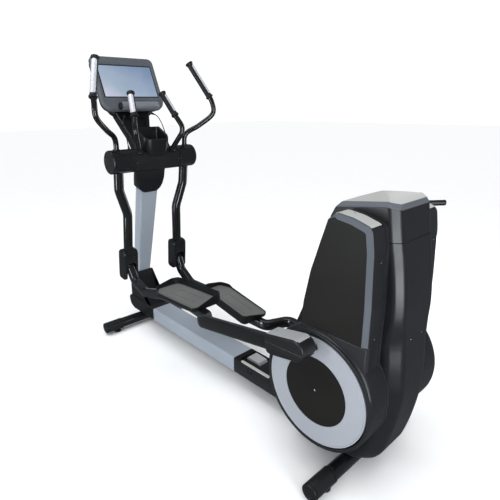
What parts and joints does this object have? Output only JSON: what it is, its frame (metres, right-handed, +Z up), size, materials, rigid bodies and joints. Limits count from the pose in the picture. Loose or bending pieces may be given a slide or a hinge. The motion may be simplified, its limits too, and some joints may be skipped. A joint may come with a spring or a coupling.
{
  "type": "elliptical trainer",
  "caption": "Rear-drive elliptical trainer with swinging and fixed handles, tilted touch console, pedal trays and a tall drive tower on a beam frame.",
  "frame": {"origin": "on the floor, under the middle of the bounding box", "axes": "+Y towards the console (the way the user faces), +X to the user's right, +Z up"},
  "size_m": [0.782, 2.006, 1.6827],
  "materials": {
    "black_paint": "satin black powder coat",
    "silver_paint": "satin silver paint",
    "ring_silver": "matt silver",
    "black_plastic": "satin black moulding",
    "charcoal_plastic": "fine grained charcoal moulding",
    "panel_plastic": "olive-black textured moulding",
    "grey_plastic": "satin grey moulding",
    "bezel_plastic": "satin mid-grey moulding",
    "screen_glass": "dark glass over a lit panel",
    "contact_steel": "polished contact plate",
    "machined_steel": "turned steel",
    "grip_rubber": "soft black grip",
    "foot_rubber": "hard black rubber",
    "mat_rubber": "grey textured mat",
    "cable_rubber": "black sheath"
  },
  "bodies": {
    "frame": {"base_frame": "black_paint", "base_cover": "silver_paint", "rear_base_cover": "black_plastic", "front_base_cover": "black_plastic", "mast": "silver_paint", "rear_stabilizer": "black_paint", "front_stabilizer": "black_paint", "hub_housing": "black_plastic", "accessory_tray": "black_plastic", "console_back": "black_plastic", "console_bezel": "bezel_plastic", "console_screen": "screen_glass", "console_ledge": "bezel_plastic", "sensor_cable_left": "cable_rubber", "sensor_cable_right": "cable_rubber", "tower_cover": "charcoal_plastic", "tower_cap": "grey_plastic", "lift_handle": "black_plastic", "drive_belt": "cable_rubber", "rear_cap_left": "black_plastic", "front_cap_left": "black_plastic", "fixed_handle_left": "black_paint", "fixed_grip_left": "grip_rubber", "fixed_plate_left": "contact_steel", "pod_left": "charcoal_plastic", "pod_panel_left": "panel_plastic", "rear_cap_right": "black_plastic", "front_cap_right": "black_plastic", "fixed_handle_right": "black_paint", "fixed_grip_right": "grip_rubber", "fixed_plate_right": "contact_steel", "pod_right": "charcoal_plastic", "pod_panel_right": "panel_plastic"},
    "crank": {"crank_shaft": "machined_steel", "drive_pulley": "machined_steel", "disc_core_left": "panel_plastic", "disc_core_right": "panel_plastic", "disc_ring_left": "ring_silver", "disc_ring_right": "ring_silver"},
    "rotor": {"generator_rotor": "machined_steel"},
    "left_swing": {"swing_arm_left": "black_paint", "pivot_cover_left": "black_plastic", "swing_grip_left": "grip_rubber", "swing_plate_left": "contact_steel"},
    "left_pedal": {"pedal_arm_left": "black_paint", "pedal_tray_left": "black_plastic", "pedal_mat_left": "mat_rubber", "crank_cover_left": "black_plastic"},
    "rear_left_foot": {"rear_foot_left": "foot_rubber"},
    "front_left_foot": {"front_foot_left": "foot_rubber"},
    "right_swing": {"swing_arm_right": "black_paint", "pivot_cover_right": "black_plastic", "swing_grip_right": "grip_rubber", "swing_plate_right": "contact_steel"},
    "right_pedal": {"pedal_arm_right": "black_paint", "pedal_tray_right": "black_plastic", "pedal_mat_right": "mat_rubber", "crank_cover_right": "black_plastic"},
    "rear_right_foot": {"rear_foot_right": "foot_rubber"},
    "front_right_foot": {"front_foot_right": "foot_rubber"}
  },
  "joints": [
    {"name": "left_swing", "type": "hinge", "parent": "frame", "child": "left_swing", "pos_m": [0, 0.672, 1.113], "axis": [1, 0, 0], "range_deg": [-16.5, 16.5]},
    {"name": "right_swing", "type": "hinge", "parent": "frame", "child": "right_swing", "pos_m": [0, 0.672, 1.113], "axis": [1, 0, 0], "range_deg": [-16.5, 16.5]},
    {"name": "left_pedal", "type": "hinge", "parent": "left_swing", "child": "left_pedal", "pos_m": [-0.17, 0.759, 0.48096], "axis": [1, 0, 0], "range_deg": [-16.5, 16.5]},
    {"name": "right_pedal", "type": "hinge", "parent": "right_swing", "child": "right_pedal", "pos_m": [0.17, 0.73717, 0.47834], "axis": [1, 0, 0], "range_deg": [-16.5, 16.5]},
    {"name": "crank_spin", "type": "hinge", "parent": "frame", "child": "crank", "pos_m": [0, -0.744, 0.391], "axis": [1, 0, 0], "continuous": true},
    {"name": "rotor_spin", "type": "hinge", "parent": "frame", "child": "rotor", "pos_m": [0.032, -0.78, 0.8], "axis": [1, 0, 0], "continuous": true},
    {"name": "rear_left_foot_turn", "type": "hinge", "parent": "frame", "child": "rear_left_foot", "pos_m": [-0.246, -0.824, 0.02], "axis": [0, 0, 1], "continuous": true},
    {"name": "rear_right_foot_turn", "type": "hinge", "parent": "frame", "child": "rear_right_foot", "pos_m": [0.246, -0.824, 0.02], "axis": [0, 0, 1], "continuous": true},
    {"name": "front_left_foot_turn", "type": "hinge", "parent": "frame", "child": "front_left_foot", "pos_m": [-0.238, 0.866, 0.02], "axis": [0, 0, 1], "continuous": true},
    {"name": "front_right_foot_turn", "type": "hinge", "parent": "frame", "child": "front_right_foot", "pos_m": [0.238, 0.866, 0.02], "axis": [0, 0, 1], "continuous": true}
  ],
  "couplings": [
    {"joint": "right_swing", "follows": "left_swing", "ratio": -1},
    {"joint": "left_pedal", "follows": "left_swing", "ratio": -1},
    {"joint": "right_pedal", "follows": "left_swing", "ratio": 1},
    {"joint": "rotor_spin", "follows": "crank_spin", "ratio": 4}
  ]
}
